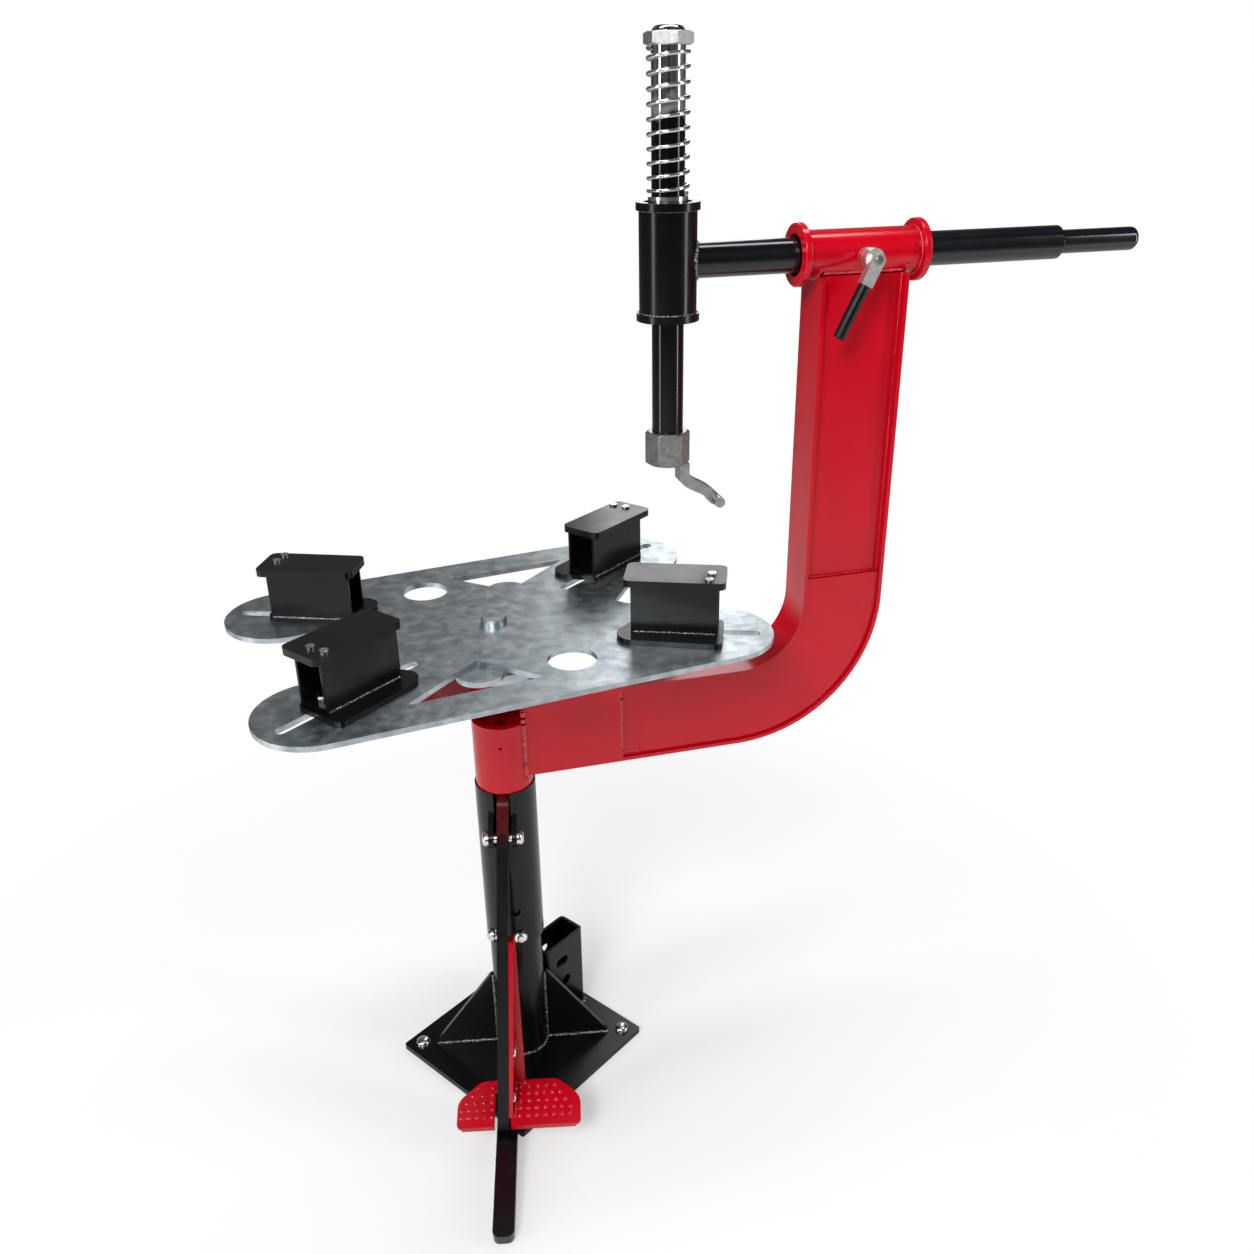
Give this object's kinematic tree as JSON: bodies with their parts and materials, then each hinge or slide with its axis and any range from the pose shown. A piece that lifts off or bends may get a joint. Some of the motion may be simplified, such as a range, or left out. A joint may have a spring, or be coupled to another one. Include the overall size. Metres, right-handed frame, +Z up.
{
  "type": "bead breaker",
  "caption": "Floor-standing motorcycle tyre changer with a swinging foot bead breaker, clamping turntable and sliding sprung tool arm on a C-frame.",
  "frame": {"origin": "centre of the base plate's underside, on the axis of the post", "axes": "+Z up the post, +X from the post towards the column of the C-frame, -Y towards the side of the breaker arm"},
  "size_m": [1.0676, 0.5225, 1.245],
  "materials": {
    "frame_red": "glossy red powder coat",
    "post_black": "glossy black powder coat",
    "plate_zinc": "bluish zinc plate, satin",
    "bright_steel": "bright zinc",
    "coupler_grey": "dark grey steel, satin",
    "bar_black": "black, semi-gloss",
    "grip_black": "black plastic sleeve",
    "bronze": "plain bush"
  },
  "bodies": {
    "stand": {"base_plate": "post_black", "stub_tube": "post_black", "gussets": "post_black", "socket_tube": "post_black", "post_tube": "post_black", "post_bolts": "bright_steel", "pivot_ears": "post_black", "pivot_pin": "bright_steel", "post_sleeve": "frame_red", "sleeve_disc": "frame_red", "frame_outer_flange": "frame_red", "frame_inner_flange": "frame_red", "beam_sides": "frame_red", "bend_webs": "frame_red", "column_webs": "frame_red", "support_plate": "frame_red", "spindle_housing": "frame_red", "spindle_bush": "bronze", "top_sleeve": "frame_red", "top_sleeve_rings": "frame_red", "lock_boss": "frame_red"},
    "turntable": {"spindle": "plate_zinc", "hub_brace": "plate_zinc", "turntable_plate": "plate_zinc"},
    "arm_bush": {"arm_bushes": "bronze"},
    "tool_arm": {"arm_bar": "bar_black", "arm_tail": "bar_black", "rod_sleeve": "post_black", "rod_sleeve_rings": "post_black", "rod_bushes": "bronze", "spring_seat": "bright_steel"},
    "tool_rod_body": {"tool_rod": "bar_black", "return_spring": "bright_steel", "rod_nut": "bright_steel", "rod_coupler": "coupler_grey", "mount_head": "bright_steel"},
    "lock_lever": {"lever_hub": "bright_steel", "lever_grip": "grip_black", "lever_screw": "bright_steel"},
    "breaker_arm": {"breaker_link": "bar_black", "breaker_rib": "frame_red", "breaker_shoe": "frame_red", "breaker_toe": "bar_black", "breaker_bolts": "bright_steel"},
    "jaw_a": {"jaw_a_base": "post_black", "jaw_a_tube": "post_black", "jaw_a_cap": "post_black", "jaw_a_fasteners": "bright_steel"},
    "jaw_b": {"jaw_b_base": "post_black", "jaw_b_tube": "post_black", "jaw_b_cap": "post_black", "jaw_b_fasteners": "bright_steel"},
    "jaw_c": {"jaw_c_base": "post_black", "jaw_c_tube": "post_black", "jaw_c_cap": "post_black", "jaw_c_fasteners": "bright_steel"},
    "jaw_d": {"jaw_d_base": "post_black", "jaw_d_tube": "post_black", "jaw_d_cap": "post_black", "jaw_d_fasteners": "bright_steel"}
  },
  "joints": [
    {"name": "turntable_spin", "type": "hinge", "parent": "stand", "child": "turntable", "pos_m": [0, 0, 0.57], "axis": [0, 0, 1], "continuous": true},
    {"name": "arm_swing", "type": "hinge", "parent": "stand", "child": "arm_bush", "pos_m": [0.42, 0, 1.027], "axis": [1, 0, 0], "range_deg": [-90, 90]},
    {"name": "arm_slide", "type": "slide", "parent": "arm_bush", "child": "tool_arm", "axis": [1, 0, 0], "range_m": [-0.16, 0.1]},
    {"name": "tool_rod_slide", "type": "slide", "parent": "tool_arm", "child": "tool_rod_body", "axis": [0, 0, 1], "range_m": [-0.045, 0], "stiffness_N_per_m": 1500, "springref_m": 0.05, "deforming": ["return_spring"]},
    {"name": "lock_lever_turn", "type": "hinge", "parent": "stand", "child": "lock_lever", "pos_m": [0.42, -0.05, 1.025], "axis": [0, -1, 0], "range_deg": [-60, 120]},
    {"name": "breaker_swing", "type": "hinge", "parent": "stand", "child": "breaker_arm", "pos_m": [-0.0104, -0.04891, 0.377], "axis": [-0.9781, 0.2079, 0], "range_deg": [0, 55]},
    {"name": "jaw_a_slide", "type": "slide", "parent": "turntable", "child": "jaw_a", "axis": [-0.788, -0.6157, 0], "range_m": [-0.09, 0.045]},
    {"name": "jaw_b_slide", "type": "slide", "parent": "turntable", "child": "jaw_b", "axis": [0.9272, -0.3746, 0], "range_m": [-0.09, 0.045]},
    {"name": "jaw_c_slide", "type": "slide", "parent": "turntable", "child": "jaw_c", "axis": [0.788, 0.6157, 0], "range_m": [-0.09, 0.045]},
    {"name": "jaw_d_slide", "type": "slide", "parent": "turntable", "child": "jaw_d", "axis": [-0.9272, 0.3746, 0], "range_m": [-0.09, 0.045]}
  ]
}
